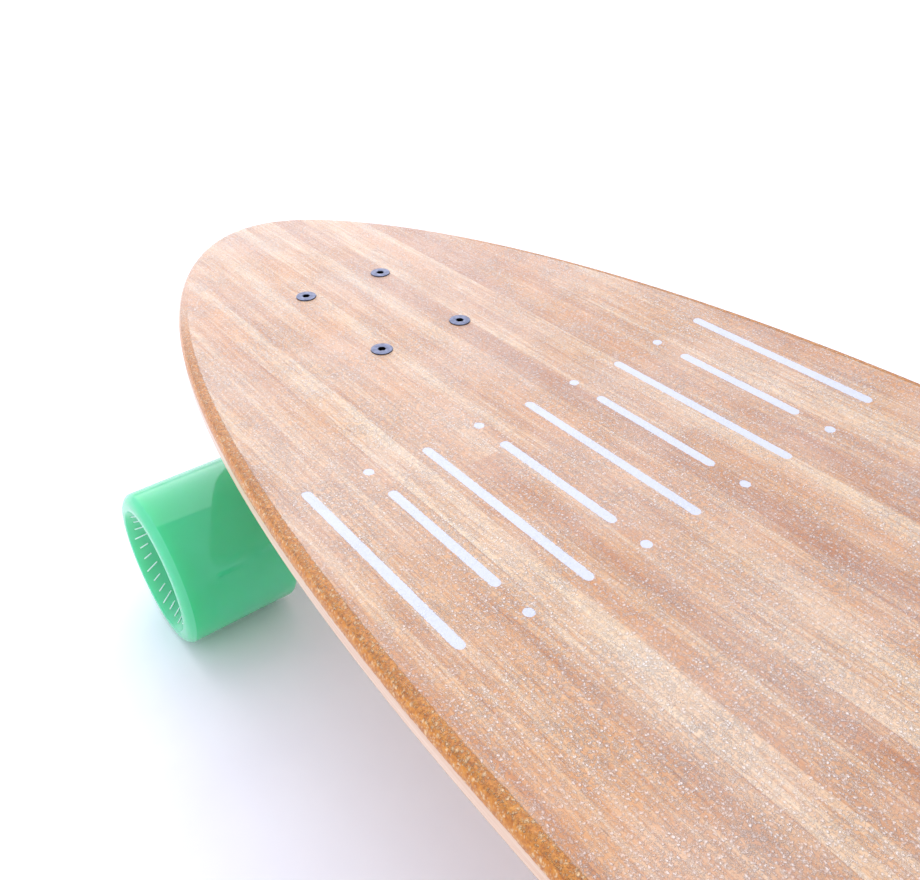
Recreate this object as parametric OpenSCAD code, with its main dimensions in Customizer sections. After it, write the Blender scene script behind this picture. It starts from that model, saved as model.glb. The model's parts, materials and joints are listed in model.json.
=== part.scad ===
// Wide cruising skateboard: bamboo deck, two reverse-kingpin trucks, four soft wheels.
// The origin is on the floor under the middle of the board.
// +X runs towards the tail, +Y across the board, +Z up.

/* [Deck] */
// Overall length of the deck, nose tip to tail tip
deck_length = 915; // [880:1:1000]
// Greatest width of the deck
deck_width = 239; // [225:1:255]
// Distance from the nose tip to the widest place
nose_reach = 350; // [300:1:420]
// Thickness of the bamboo core
core_thickness = 7.8; // [6:0.1:10]
// Thickness of the face sheet and of the bottom sheet
sheet_thickness = 1.6; // [1:0.1:2]
// Width of the flat middle of the concave
flat_width = 76; // [66:1:90]
// Height of the rail above the flat middle
concave_height = 8; // [2:0.5:12]

/* [Truck placing] */
// Distance from the nose tip to the front bolt pattern's centre
nose_overhang = 130; // [120:1:145]
// Distance between the centres of the two bolt patterns
bolt_base = 640; // [600:1:660]
// Bolt spacing along the board
bolt_spacing_x = 63.5; // [60:0.5:66]
// Bolt spacing across the board
bolt_spacing_y = 41.3; // [41:0.1:44]
// Thickness of the riser pad
riser_thickness = 3; // [2:0.5:6]

/* [Truck] */
// Angle of the steering axis to the deck
steer_angle = 45; // [42:1:50]
// Drop from the baseplate's top face to the axle
axle_drop = 72; // [68:1:76]
// How far the axle lies inboard of the bolt pattern's centre
axle_inset = 3; // [0:0.5:6]
// Width of the hanger between its two wheel faces
hanger_width = 176; // [170:1:190]
// Distance of the axle from the steering axis
axle_rake = 8; // [7.5:0.5:10]
// Distance from the axle to the kingpin, along the steering axis
kingpin_reach = 25; // [24:0.5:28]
// Diameter of the axle
axle_d = 7.94; // [7.9:0.02:7.96]
// Diameter of the kingpin
kingpin_d = 9.5; // [9:0.1:10]
// Height of the bushing between the baseplate and the hanger
boardside_height = 13.5; // [12:0.5:16]
// Height of the bushing between the hanger and the nut
roadside_height = 13; // [10:0.5:15]

/* [Wheels] */
// Diameter of the wheel
wheel_d = 71; // [66:1:76]
// Width of the wheel
wheel_width = 52; // [48:1:56]
// How far the wheel's outer face stands beyond the outer bearing
wheel_outset = 14.5; // [12:0.5:16]
// Radius of the rounded edge of the wheel
wheel_lip = 3.5; // [1:0.5:6]
// Diameter of the wheel's hard core
core_d = 35; // [30:1:40]
// Length of the spacer between the two bearings of a wheel
spacer_length = 10; // [8:0.5:10.5]

/* [Hidden] */
$fn = 64;

// Standard fasteners and bearings
bolt_r = 2.4;
bolt_hole_r = 2.55;
bolt_head_r = 4.6;
bolt_head_rim = 0.4;
bolt_socket_r = 1.85;
bolt_socket_depth = 1.8;
bolt_sink = 0.2;
bolt_end_below_nut = 3.5;
lock_nut_r = 5.5;
lock_nut_height = 6;
fit_gap = 0.03;
bearing_r = 11;
bearing_width = 7;
bearing_pitch_r = 7.5;
ball_r = 1.95;
ball_count = 7;
inner_ring_r = 6.05;
outer_ring_inner_r = 8.95;
groove_r = 2.0;
shield_thickness = 0.4;
shield_inner_r = 6.4;
speed_washer_thickness = 1;
speed_washer_r = 6.3;
axle_nut_r = 7.3;
axle_nut_height = 5.5;
axle_end_beyond_nut = 1.5;

// Truck castings
plate_half_x = 41;
plate_half_y = 28;
plate_thickness = 5.5;
plate_corner = 8;
tower_half_y = 11;
tower_back_x = -39;
tower_set_in = 1;
boss_r = 14;
head_seat_depth = 12;
kingpin_head_r = 8;
kingpin_head_height = 6;
head_pocket_r = 8.6;
hollow_half_y = 8;
hollow_depth = 18;
hollow_inner_x = -31;
hollow_outer_x = -13;
bushing_r = 13;
bushing_tip_r = 10.5;
bushing_bore_gap = 0.3;
base_washer_thickness = 1.5;
cup_washer_thickness = 2;
kingpin_nut_r = 8;
kingpin_nut_height = 8;
kingpin_end = 3;
ring_r = 17;
ring_web = 10;
seat_depth = 3;
seat_r = 13.8;
ring_hole_r = 8;
nub_r = 7;
nub_reach = 12;
cup_r = 9.5;
cup_start = 6;
cup_end = 20.5;
housing_r = 12;
housing_end = 23;
relief_gap = 0.7;
barrel_r = 12.5;
barrel_half_y = 16;
hanger_end_r = 9.6;
wing_half_y = 56;
wing_thickness = 8;

// Levels above the floor
axle_z = wheel_d / 2;
plate_z = axle_z + axle_drop;
deck_bottom_z = plate_z + riser_thickness;
deck_thickness = core_thickness + 2 * sheet_thickness;
deck_top_z = deck_bottom_z + deck_thickness;

// Places along and across the board
nose_x = -deck_length / 2;
widest_x = nose_x + nose_reach;
tail_reach = deck_length - nose_reach;
tail_fullness = 2.6;
front_x = nose_x + nose_overhang;
rear_x = front_x + bolt_base;
hanger_face = hanger_width / 2;
inner_bearing_y = hanger_face + speed_washer_thickness;
outer_bearing_y = inner_bearing_y + bearing_width + spacer_length;
outer_washer_y = outer_bearing_y + bearing_width;
axle_nut_y = outer_washer_y + speed_washer_thickness;
axle_half = axle_nut_y + axle_nut_height + axle_end_beyond_nut;
wheel_outer_y = outer_washer_y + wheel_outset;
wheel_inner_y = wheel_outer_y - wheel_width;

// The truck's own frame: +X outboard, +Z up, the origin in the middle of the baseplate's top face.
// The steering frame: +X along the steering axis to the pivot, +Z along the kingpin to its nut.
to_pivot = [-cos(steer_angle), -sin(steer_angle)];
to_nut = [sin(steer_angle), -cos(steer_angle)];
steer_origin = [-axle_inset, -axle_drop] - axle_rake * to_nut;
boss_face = -(ring_web / 2 + boardside_height + base_washer_thickness);
head_seat = boss_face - head_seat_depth;
cup_washer_start = ring_web / 2 + roadside_height;
kingpin_nut_start = cup_washer_start + cup_washer_thickness;
function steered(x, z) = steer_origin + x * to_pivot + z * to_nut;

// Half-outline of the deck from the nose tip to the tail tip
outline_steps = 26;
nose_half = [for (i = [0 : outline_steps]) let (t = 90 * i / outline_steps)
    [widest_x - nose_reach * cos(t), deck_width / 2 * sin(t)]];
tail_half = [for (i = [1 : outline_steps]) let (t = 90 - 90 * i / outline_steps)
    [widest_x + tail_reach * pow(cos(t), 2 / tail_fullness), deck_width / 2 * sin(t)]];
half_outline = concat(nose_half, tail_half);
outline_last = len(half_outline) - 1;
full_outline = concat(half_outline,
    [for (i = [1 : outline_last - 1]) [half_outline[outline_last - i][0], -half_outline[outline_last - i][1]]]);

// Rise of the concave at a distance from the centre line
section_steps = 8;
rail_rise = concave_height / pow((deck_width - flat_width) / 2, 2);
function rise(y) = rail_rise * pow(max(0, abs(y) - flat_width / 2), 2);
half_section = [for (i = [0 : section_steps])
    flat_width / 2 + (deck_width / 2 + 2 - flat_width / 2) * i / section_steps];
section_y = concat([for (i = [section_steps : -1 : 0]) -half_section[i]], half_section);
section_last = len(section_y) - 1;

// One sheet of the deck between two levels below the flat middle's top
module deck_sheet(top, thickness) {
    intersection() {
        translate([nose_x - 1, 0, deck_top_z - top])
            rotate([90, 0, 90])
                linear_extrude(deck_length + 2)
                    polygon(concat(
                        [for (y = section_y) [y, rise(y)]],
                        [for (i = [section_last : -1 : 0]) [section_y[i], rise(section_y[i]) - thickness]]));
        linear_extrude(2 * deck_top_z)
            polygon(full_outline);
    }
}

// Children placed at each bolt of one truck
module at_bolts(x) {
    for (i = [-1, 1], j = [-1, 1])
        translate([x + i * bolt_spacing_x / 2, j * bolt_spacing_y / 2, 0])
            children();
}

// The bolt's countersunk shape, with its top face at z = 0
module bolt_shape(gap, length) {
    cone = bolt_head_r - bolt_r;
    translate([0, 0, -bolt_head_rim])
        cylinder(r = bolt_head_r + gap, h = bolt_head_rim + gap);
    translate([0, 0, -bolt_head_rim - cone])
        cylinder(r1 = bolt_r + gap, r2 = bolt_head_r + gap, h = cone);
    translate([0, 0, -length])
        cylinder(r = bolt_r + gap, h = length - bolt_head_rim);
}

module deck_holes() {
    for (x = [front_x, rear_x])
        at_bolts(x) {
            translate([0, 0, deck_top_z - bolt_sink])
                bolt_shape(fit_gap, deck_thickness);
            translate([0, 0, deck_top_z - 1])
                cylinder(r = bolt_head_r + fit_gap, h = 2);
            translate([0, 0, deck_bottom_z - 1])
                cylinder(r = bolt_hole_r, h = deck_thickness - 3);
        }
}

module deck_top_sheet() {
    color([0.86, 0.66, 0.44])
        difference() {
            deck_sheet(0, sheet_thickness);
            deck_holes();
        }
}

module deck_core() {
    color([0.90, 0.72, 0.50])
        difference() {
            deck_sheet(sheet_thickness, core_thickness);
            deck_holes();
        }
}

module deck_bottom_sheet() {
    color([0.84, 0.62, 0.40])
        difference() {
            deck_sheet(sheet_thickness + core_thickness, sheet_thickness);
            deck_holes();
        }
}

// Rectangle with round corners
module rounded_plate(half_x, half_y, corner, height) {
    linear_extrude(height) {
        square([2 * half_x, 2 * (half_y - corner)], center = true);
        square([2 * (half_x - corner), 2 * half_y], center = true);
        for (i = [-1, 1], j = [-1, 1])
            translate([i * (half_x - corner), j * (half_y - corner)])
                circle(r = corner);
    }
}

module riser_pad(x) {
    color([0.10, 0.10, 0.11])
        difference() {
            translate([x, 0, plate_z])
                rounded_plate(plate_half_x, plate_half_y, plate_corner, riser_thickness);
            translate([0, 0, plate_z - 1])
                at_bolts(x)
                    cylinder(r = bolt_hole_r, h = riser_thickness + 2);
        }
}

// Length of a mounting bolt, from its top face to its threaded end
bolt_length = deck_thickness + riser_thickness + plate_thickness + lock_nut_height + bolt_end_below_nut;

module mounting_bolts(x) {
    color([0.55, 0.60, 0.66])
        at_bolts(x)
            translate([0, 0, deck_top_z - bolt_sink])
                difference() {
                    bolt_shape(0, bolt_length);
                    translate([0, 0, -bolt_socket_depth])
                        cylinder(r = bolt_socket_r, h = bolt_socket_depth + 1, $fn = 6);
                }
}

module lock_nuts(x) {
    color([0.72, 0.73, 0.75])
        at_bolts(x)
            translate([0, 0, plate_z - plate_thickness - lock_nut_height])
                difference() {
                    cylinder(r = lock_nut_r, h = lock_nut_height, $fn = 6);
                    translate([0, 0, -1])
                        cylinder(r = bolt_r + fit_gap, h = lock_nut_height + 2);
                }
}

// Children drawn in the truck's own frame; outboard is -1 for the front truck and 1 for the rear
module truck_frame(outboard) {
    x = outboard < 0 ? front_x : rear_x;
    translate([x, 0, plate_z])
        rotate([0, 0, outboard < 0 ? 180 : 0])
            children();
}

// Children drawn in the steering frame
module steering_frame(outboard) {
    truck_frame(outboard)
        translate([steer_origin[0], 0, steer_origin[1]])
            rotate([0, 180 - steer_angle, 0])
                children();
}

// A cylinder along the steering axis, between two places on it
module axis_cylinder(from, to, r) {
    translate([from, 0, 0])
        rotate([0, 90, 0])
            cylinder(r = r, h = to - from);
}

// Side outline of the tower that joins the plate, the boss and the pivot housing
tower_outline = [
    [tower_back_x + 1, -2],
    [tower_back_x, -56],
    steered(housing_end - tower_set_in, tower_set_in - housing_r),
    steered(housing_end - tower_set_in, 0),
    steered(cup_start + tower_set_in, 0),
    steered(cup_start + tower_set_in, boss_face - tower_set_in),
    steered(boss_r - kingpin_reach, boss_face - tower_set_in),
    [hollow_outer_x + 4, -2]
];

module baseplate_solid(outboard) {
    truck_frame(outboard) {
        translate([0, 0, -plate_thickness])
            rounded_plate(plate_half_x, plate_half_y, plate_corner, plate_thickness);
        translate([0, tower_half_y, 0])
            rotate([90, 0, 0])
                linear_extrude(2 * tower_half_y)
                    polygon(tower_outline);
    }
    intersection() {
        steering_frame(outboard)
            translate([-kingpin_reach, 0, boss_face - 4 * boss_r])
                cylinder(r = boss_r, h = 4 * boss_r);
        truck_frame(outboard)
            translate([-plate_half_x + 2, -plate_half_y, -axle_drop])
                cube([2 * plate_half_x - 4, 2 * plate_half_y, axle_drop]);
    }
    steering_frame(outboard)
        axis_cylinder(cup_start, housing_end, housing_r);
}

module baseplate(outboard) {
    color([0.62, 0.64, 0.66])
        difference() {
            baseplate_solid(outboard);
            steering_frame(outboard) {
                translate([-kingpin_reach, 0, head_seat - 1])
                    cylinder(r = kingpin_d / 2 + fit_gap, h = head_seat_depth + 2);
                translate([-kingpin_reach, 0, head_seat - 2 * kingpin_head_height])
                    cylinder(r = head_pocket_r, h = 2 * kingpin_head_height);
                axis_cylinder(cup_start - 1, cup_end, cup_r);
            }
            truck_frame(outboard) {
                translate([hollow_inner_x, -hollow_half_y, -hollow_depth])
                    cube([hollow_outer_x - hollow_inner_x, 2 * hollow_half_y, hollow_depth + 1]);
                for (x = [-1, 1], y = [-1, 1])
                    translate([x * bolt_spacing_x / 2, y * bolt_spacing_y / 2, -plate_thickness - 1])
                        cylinder(r = bolt_hole_r, h = plate_thickness + 2);
            }
        }
}

module pivot_cup(outboard) {
    color([0.12, 0.12, 0.13])
        steering_frame(outboard)
            difference() {
                axis_cylinder(cup_start, cup_end, cup_r);
                axis_cylinder(cup_start - 1, nub_reach, nub_r + fit_gap);
                translate([nub_reach, 0, 0])
                    sphere(r = nub_r + fit_gap);
            }
}

module kingpin(outboard) {
    color([0.58, 0.59, 0.61])
        steering_frame(outboard)
            translate([-kingpin_reach, 0, 0]) {
                translate([0, 0, head_seat - kingpin_head_height])
                    cylinder(r = kingpin_head_r, h = kingpin_head_height, $fn = 6);
                translate([0, 0, head_seat - 1])
                    cylinder(r = kingpin_d / 2, h = kingpin_nut_start + kingpin_nut_height + kingpin_end - head_seat + 1);
            }
}

module kingpin_nut(outboard) {
    color([0.70, 0.71, 0.73])
        steering_frame(outboard)
            translate([-kingpin_reach, 0, kingpin_nut_start])
                difference() {
                    cylinder(r = kingpin_nut_r, h = kingpin_nut_height, $fn = 6);
                    translate([0, 0, -1])
                        cylinder(r = kingpin_d / 2 + fit_gap, h = kingpin_nut_height + 2);
                }
}

// A ring on the kingpin, between two radii at its foot and its top
module kingpin_ring(outboard, start, height, foot_r, top_r, gap) {
    steering_frame(outboard)
        translate([-kingpin_reach, 0, start])
            difference() {
                cylinder(r1 = foot_r, r2 = top_r, h = height);
                translate([0, 0, -1])
                    cylinder(r = kingpin_d / 2 + gap, h = height + 2);
            }
}

module bushing_washers(outboard) {
    color([0.74, 0.75, 0.77]) {
        kingpin_ring(outboard, boss_face, base_washer_thickness, bushing_r, bushing_r, fit_gap);
        kingpin_ring(outboard, cup_washer_start, cup_washer_thickness, bushing_r - 1, bushing_r - 1, fit_gap);
    }
}

module boardside_bushing(outboard) {
    color([0.92, 0.90, 0.84])
        kingpin_ring(outboard, boss_face + base_washer_thickness, boardside_height,
            bushing_r, bushing_r, bushing_bore_gap);
}

module roadside_bushing(outboard) {
    color([0.92, 0.90, 0.84])
        kingpin_ring(outboard, ring_web / 2, roadside_height, bushing_r, bushing_tip_r, bushing_bore_gap);
}

// One tapered arm of the hanger, drawn towards +Y
module hanger_arm() {
    rotate([-90, 0, 0])
        cylinder(r1 = barrel_r, r2 = hanger_end_r, h = hanger_face);
}

module hanger_solid() {
    difference() {
        union() {
            translate([0, 0, axle_rake]) {
                hanger_arm();
                mirror([0, 1, 0])
                    hanger_arm();
            }
            translate([-kingpin_reach, 0, -ring_web / 2 - seat_depth])
                cylinder(r = ring_r, h = ring_web + 2 * seat_depth);
            translate([0, 0, -wing_thickness / 2])
                linear_extrude(wing_thickness)
                    polygon([[-kingpin_reach, ring_r], [0, wing_half_y], [4, wing_half_y],
                        [4, -wing_half_y], [0, -wing_half_y], [-kingpin_reach, -ring_r]]);
        }
        axis_cylinder(cup_start - relief_gap, housing_end, housing_r + 2);
        translate([cup_start - relief_gap, -barrel_half_y, -2 * barrel_r])
            cube([2 * barrel_r, 2 * barrel_half_y, 2 * barrel_r + 4]);
    }
    axis_cylinder(0, nub_reach, nub_r);
    translate([nub_reach, 0, 0])
        sphere(r = nub_r);
}

module hanger(outboard) {
    color([0.66, 0.68, 0.70])
        steering_frame(outboard)
            difference() {
                hanger_solid();
                translate([-kingpin_reach, 0, -ring_web])
                    cylinder(r = ring_hole_r, h = 2 * ring_web);
                translate([-kingpin_reach, 0, ring_web / 2])
                    cylinder(r = seat_r, h = 2 * barrel_r);
                translate([-kingpin_reach, 0, -ring_web / 2 - 2 * seat_depth])
                    cylinder(r = seat_r, h = 2 * seat_depth);
                translate([0, 0, axle_rake])
                    rotate([-90, 0, 0])
                        cylinder(r = axle_d / 2, h = 3 * hanger_face, center = true);
            }
}

// Children drawn with +Z along the axle towards one side; side is -1 for left and 1 for right
module axle_frame(outboard, side) {
    translate([outboard < 0 ? front_x + axle_inset : rear_x - axle_inset, 0, axle_z])
        rotate([-90 * side, 0, 0])
            children();
}

// A plain ring on the axle
module axle_ring(start, length, outer_r, inner_r) {
    translate([0, 0, start])
        difference() {
            cylinder(r = outer_r, h = length);
            translate([0, 0, -1])
                cylinder(r = inner_r, h = length + 2);
        }
}

module axle(outboard) {
    color([0.76, 0.77, 0.79])
        axle_frame(outboard, 1)
            cylinder(r = axle_d / 2, h = 2 * axle_half, center = true);
}

module axle_nuts(outboard) {
    color([0.74, 0.75, 0.77])
        for (side = [-1, 1])
            axle_frame(outboard, side)
                translate([0, 0, axle_nut_y])
                    difference() {
                        cylinder(r = axle_nut_r, h = axle_nut_height, $fn = 6);
                        translate([0, 0, -1])
                            cylinder(r = axle_d / 2 + fit_gap, h = axle_nut_height + 2);
                    }
}

module speed_washers(outboard) {
    color([0.78, 0.79, 0.80])
        for (side = [-1, 1], start = [hanger_face, outer_washer_y])
            axle_frame(outboard, side)
                axle_ring(start, speed_washer_thickness, speed_washer_r, axle_d / 2 + fit_gap);
}

// The ball groove of a bearing that starts at a given place on the axle
module bearing_groove(start) {
    translate([0, 0, start + bearing_width / 2])
        rotate_extrude()
            translate([bearing_pitch_r, 0])
                circle(r = groove_r);
}

module bearing_inner_rings(outboard) {
    color([0.80, 0.81, 0.82])
        for (side = [-1, 1], start = [inner_bearing_y, outer_bearing_y])
            axle_frame(outboard, side)
                difference() {
                    axle_ring(start, bearing_width, inner_ring_r, axle_d / 2 + fit_gap);
                    bearing_groove(start);
                }
}

module bearing_spacers(outboard) {
    color([0.68, 0.70, 0.72])
        for (side = [-1, 1])
            axle_frame(outboard, side)
                axle_ring(inner_bearing_y + bearing_width, spacer_length, inner_ring_r, axle_d / 2 + fit_gap);
}

module bearing_outer_rings(outboard, side) {
    color([0.80, 0.81, 0.82])
        axle_frame(outboard, side)
            for (start = [inner_bearing_y, outer_bearing_y])
                difference() {
                    axle_ring(start, bearing_width, bearing_r, outer_ring_inner_r);
                    bearing_groove(start);
                }
}

module bearing_balls(outboard, side) {
    color([0.86, 0.87, 0.88])
        axle_frame(outboard, side)
            for (start = [inner_bearing_y, outer_bearing_y], i = [0 : ball_count - 1])
                rotate([0, 0, i * 360 / ball_count])
                    translate([bearing_pitch_r, 0, start + bearing_width / 2])
                        sphere(r = ball_r);
}

module bearing_shields(outboard, side) {
    color([0.30, 0.32, 0.34])
        axle_frame(outboard, side)
            for (start = [inner_bearing_y, outer_bearing_y], end = [0, bearing_width - shield_thickness])
                axle_ring(start + end, shield_thickness, outer_ring_inner_r, shield_inner_r);
}

// The core lies between two faces just clear of the bearings' outer ends
core_lip = 0.6;
core_start = inner_bearing_y - core_lip;
core_end = outer_washer_y + core_lip;
core_wall_r = 8;

module wheel_core(outboard, side) {
    color([0.90, 0.95, 0.92])
        axle_frame(outboard, side)
            difference() {
                axle_ring(core_start, core_end - core_start, core_d / 2, core_wall_r);
                for (start = [core_start - 1, outer_bearing_y])
                    translate([0, 0, start])
                        cylinder(r = bearing_r, h = bearing_width + core_lip + 1);
            }
}

// Half of the wheel's section as [radius, place along the axle]
lip_steps = 6;
dish_rim = 8;
dish_fillet = 3;
function lip_arc(y, from) = [for (i = [0 : lip_steps]) let (t = from + 90 * i / lip_steps)
    [wheel_d / 2 - wheel_lip + wheel_lip * cos(t), y + wheel_lip * sin(t)]];
wheel_section = concat(
    [[core_d / 2, core_start], [core_d / 2 + dish_fillet, core_start],
        [wheel_d / 2 - dish_rim, wheel_inner_y + 1], [wheel_d / 2 - dish_rim + 1.5, wheel_inner_y]],
    lip_arc(wheel_inner_y + wheel_lip, -90),
    lip_arc(wheel_outer_y - wheel_lip, 0),
    [[wheel_d / 2 - dish_rim + 1.5, wheel_outer_y], [wheel_d / 2 - dish_rim, wheel_outer_y - 1],
        [core_d / 2 + dish_fillet, core_end], [core_d / 2, core_end]]);

module wheel(outboard, side) {
    color([0.35, 0.80, 0.62])
        axle_frame(outboard, side)
            rotate_extrude($fn = 128)
                polygon(wheel_section);
}

deck_top_sheet();
deck_core();
deck_bottom_sheet();
riser_pad(front_x);  // front_riser_pad
riser_pad(rear_x);  // rear_riser_pad
mounting_bolts(front_x);  // front_mounting_bolts
mounting_bolts(rear_x);  // rear_mounting_bolts
lock_nuts(front_x);  // front_lock_nuts
lock_nuts(rear_x);  // rear_lock_nuts
baseplate(-1);  // front_baseplate
baseplate(1);  // rear_baseplate
pivot_cup(-1);  // front_pivot_cup
pivot_cup(1);  // rear_pivot_cup
kingpin(-1);  // front_kingpin
kingpin(1);  // rear_kingpin
kingpin_nut(-1);  // front_kingpin_nut
kingpin_nut(1);  // rear_kingpin_nut
bushing_washers(-1);  // front_bushing_washers
bushing_washers(1);  // rear_bushing_washers
boardside_bushing(-1);  // front_boardside_bushing
boardside_bushing(1);  // rear_boardside_bushing
roadside_bushing(-1);  // front_roadside_bushing
roadside_bushing(1);  // rear_roadside_bushing
hanger(-1);  // front_hanger
hanger(1);  // rear_hanger
axle(-1);  // front_axle
axle(1);  // rear_axle
axle_nuts(-1);  // front_axle_nuts
axle_nuts(1);  // rear_axle_nuts
speed_washers(-1);  // front_speed_washers
speed_washers(1);  // rear_speed_washers
bearing_inner_rings(-1);  // front_bearing_inner_rings
bearing_inner_rings(1);  // rear_bearing_inner_rings
bearing_spacers(-1);  // front_bearing_spacers
bearing_spacers(1);  // rear_bearing_spacers
wheel(-1, -1);  // front_left_wheel
wheel(-1, 1);  // front_right_wheel
wheel(1, -1);  // rear_left_wheel
wheel(1, 1);  // rear_right_wheel
wheel_core(-1, -1);  // front_left_wheel_core
wheel_core(-1, 1);  // front_right_wheel_core
wheel_core(1, -1);  // rear_left_wheel_core
wheel_core(1, 1);  // rear_right_wheel_core
bearing_outer_rings(-1, -1);  // front_left_bearing_outer_rings
bearing_outer_rings(-1, 1);  // front_right_bearing_outer_rings
bearing_outer_rings(1, -1);  // rear_left_bearing_outer_rings
bearing_outer_rings(1, 1);  // rear_right_bearing_outer_rings
bearing_balls(-1, -1);  // front_left_bearing_balls
bearing_balls(-1, 1);  // front_right_bearing_balls
bearing_balls(1, -1);  // rear_left_bearing_balls
bearing_balls(1, 1);  // rear_right_bearing_balls
bearing_shields(-1, -1);  // front_left_bearing_shields
bearing_shields(-1, 1);  // front_right_bearing_shields
bearing_shields(1, -1);  // rear_left_bearing_shields
bearing_shields(1, 1);  // rear_right_bearing_shields
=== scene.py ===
import json
import math

import bpy
from mathutils import Matrix, Vector


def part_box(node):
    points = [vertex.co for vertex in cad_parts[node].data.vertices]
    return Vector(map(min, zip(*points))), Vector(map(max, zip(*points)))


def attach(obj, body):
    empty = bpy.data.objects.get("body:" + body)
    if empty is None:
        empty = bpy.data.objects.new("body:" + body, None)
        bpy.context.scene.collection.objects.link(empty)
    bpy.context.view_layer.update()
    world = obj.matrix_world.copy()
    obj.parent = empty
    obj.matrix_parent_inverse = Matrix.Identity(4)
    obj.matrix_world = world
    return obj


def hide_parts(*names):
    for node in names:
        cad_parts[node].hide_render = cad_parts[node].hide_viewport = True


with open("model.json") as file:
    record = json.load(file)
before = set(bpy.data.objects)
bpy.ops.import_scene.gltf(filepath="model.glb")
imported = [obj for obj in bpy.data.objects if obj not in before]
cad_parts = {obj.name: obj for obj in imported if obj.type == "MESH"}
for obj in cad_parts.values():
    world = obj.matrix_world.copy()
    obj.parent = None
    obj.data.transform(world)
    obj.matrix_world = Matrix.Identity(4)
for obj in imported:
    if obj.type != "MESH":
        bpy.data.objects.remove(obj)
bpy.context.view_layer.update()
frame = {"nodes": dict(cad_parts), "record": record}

bl_info = {
    "name": "Cruising skateboard",
    "version": (1, 0, 0),
    "blender": (4, 5, 0),
    "location": "View3D > Sidebar > Skateboard",
    "description": "Builds the finished deck, wheels, trucks and studio round the packed frame",
    "category": "Object",
}

MM = 0.001
ENDS = ("front", "rear")
SIDES = ("left", "right")
CASTING_VOXEL = 0.75 * MM


# ---------------------------------------------------------------- places read from the frame

def box_centre(node):
    low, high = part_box(node)
    return (Vector(low) + Vector(high)) / 2


DECK_LOW, DECK_HIGH = (Vector(corner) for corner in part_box("deck_top_sheet"))
DECK_TOP = next(m["pos_m"][2] for m in frame["record"]["mounts"] if m["name"] == "deck_top")
DECK_LENGTH = DECK_HIGH.x - DECK_LOW.x
HALF_WIDTH = (DECK_HIGH.y - DECK_LOW.y) / 2
CONCAVE = DECK_HIGH.z - DECK_TOP
SHEET = DECK_TOP - DECK_LOW.z
DECK_THICKNESS = DECK_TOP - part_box("deck_bottom_sheet")[0][2]
BOLTS_X = {end: box_centre(end + "_riser_pad").x for end in ENDS}
WHEELS = {(end, side): box_centre("%s_%s_wheel" % (end, side)) for end in ENDS for side in SIDES}
WHEEL_RADIUS = (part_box("front_left_wheel")[1][2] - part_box("front_left_wheel")[0][2]) / 2
WHEEL_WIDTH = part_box("front_left_wheel")[1][1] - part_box("front_left_wheel")[0][1]
CORE_RADIUS = (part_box("front_left_wheel_core")[1][2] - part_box("front_left_wheel_core")[0][2]) / 2
# Along the axle, from the wheel's middle towards its street side
CORE_SEAT = tuple(sorted(WHEELS[("front", "left")].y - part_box("front_left_wheel_core")[i][1] for i in (0, 1)))
SPACER_WIDTH = 10 * MM
BEARING_MIDDLE = WHEELS[("front", "left")].y - box_centre("front_left_bearing_outer_rings").y
BEARING_SEATS = (BEARING_MIDDLE - SPACER_WIDTH / 2, BEARING_MIDDLE + SPACER_WIDTH / 2)
BOLT_HEAD = 9.2 * MM
# How far the finished bolts stand above their CAD place
BOLT_RAISED = 0.75 * MM
BOLT_SPACING = Vector([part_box("front_mounting_bolts")[1][i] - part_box("front_mounting_bolts")[0][i] - BOLT_HEAD
                       for i in (0, 1)] + [0])


def colour(code):
    """A colour written as sRGB hex, turned to linear; a colour that is already linear passes as it is."""
    if not isinstance(code, str):
        return list(code) + [1.0]
    values = [int(code[i:i + 2], 16) / 255 for i in (0, 2, 4)]
    return [v / 12.92 if v <= 0.04045 else ((v + 0.055) / 1.055) ** 2.4 for v in values] + [1.0]


def colour_setting(name, description, code):
    return bpy.props.FloatVectorProperty(name=name, description=description, subtype="COLOR",
                                         default=colour(code)[:3], min=0, max=1)


# ---------------------------------------------------------------- sizes and colours a user may change

class DeckSettings(bpy.types.PropertyGroup):
    nose_reach: bpy.props.FloatProperty(
        name="Nose reach", description="Distance from the nose tip to the widest place",
        default=0.350, unit="LENGTH")
    tail_fullness: bpy.props.FloatProperty(
        name="Tail fullness", description="Power of the tail's outline, higher is squarer", default=2.6)
    flat_width: bpy.props.FloatProperty(
        name="Flat width", description="Width of the flat middle of the concave",
        default=0.076, unit="LENGTH")
    top_round: bpy.props.FloatProperty(
        name="Top round", description="Radius of the rounded top edge", default=0.0046, unit="LENGTH")
    bottom_round: bpy.props.FloatProperty(
        name="Bottom round", description="Radius of the rounded bottom edge", default=0.0016, unit="LENGTH")
    stripe_width: bpy.props.FloatProperty(
        name="Stripe width", description="Width of a printed stripe", default=0.0038, unit="LENGTH")
    strip_width: bpy.props.FloatProperty(
        name="Bamboo strip width", description="Width of one laminated bamboo strip",
        default=0.013, unit="LENGTH")
    pale_bamboo: colour_setting("Pale bamboo", "Colour of the palest grain of the face", "E8CAA2")
    middle_bamboo: colour_setting("Bamboo", "Colour between the palest and the darkest grain", "CE9A68")
    deep_bamboo: colour_setting("Deep bamboo", "Colour of the darkest grain of the face", "B06C38")
    amber_resin: colour_setting("Amber resin", "Colour of the thick resin over the rounded edge", "CC7C18")


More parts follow.
